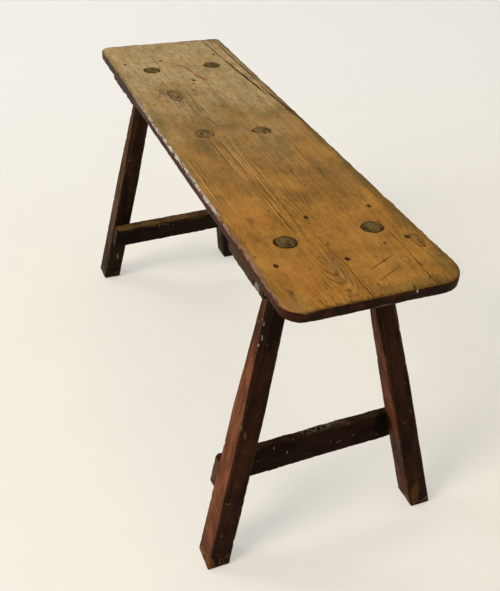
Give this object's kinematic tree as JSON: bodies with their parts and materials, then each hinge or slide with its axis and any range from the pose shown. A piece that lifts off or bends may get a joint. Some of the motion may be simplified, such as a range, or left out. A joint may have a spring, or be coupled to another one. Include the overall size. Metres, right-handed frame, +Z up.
{
  "type": "bench",
  "caption": "Old painted pine kitchen bench: round-cornered plank seat on cleats, raked tapered legs tenoned through it, nailed stretchers.",
  "frame": {"origin": "on the floor under the middle of the seat", "axes": "+X along the seat to the near end, +Y across the seat to the right side, +Z up"},
  "size_m": [0.915, 0.3922, 0.5025],
  "materials": {
    "worn_pine": "worn, waxed pine with red-brown paint left on the edges",
    "plug_wood": "dull grey-brown end grain",
    "cleat_wood": "dark stained softwood, matt and worn",
    "leg_paint": "old dark red-brown paint, satin, worn at the arrises",
    "stretcher_paint": "old near-black brown paint, worn on the upper edge",
    "nail_iron": "dark, rusted"
  },
  "bodies": {
    "root": {"seat_plank": "worn_pine", "left_seat_plug": "plug_wood", "right_seat_plug": "plug_wood", "near_cleat": "cleat_wood", "far_cleat": "cleat_wood", "near_left_leg": "leg_paint", "near_right_leg": "leg_paint", "near_stretcher": "stretcher_paint", "far_left_leg": "leg_paint", "far_right_leg": "leg_paint", "far_stretcher": "stretcher_paint", "near_cleat_nail_1": "nail_iron", "near_cleat_nail_2": "nail_iron", "near_cleat_nail_3": "nail_iron", "near_cleat_nail_4": "nail_iron", "near_cleat_nail_5": "nail_iron", "far_cleat_nail_1": "nail_iron", "far_cleat_nail_2": "nail_iron", "far_cleat_nail_3": "nail_iron", "far_cleat_nail_4": "nail_iron", "near_left_stretcher_nail_1": "nail_iron", "near_left_stretcher_nail_2": "nail_iron", "near_right_stretcher_nail_1": "nail_iron", "near_right_stretcher_nail_2": "nail_iron", "far_left_stretcher_nail_1": "nail_iron", "far_left_stretcher_nail_2": "nail_iron", "far_right_stretcher_nail_1": "nail_iron", "far_right_stretcher_nail_2": "nail_iron"}
  },
  "joints": []
}
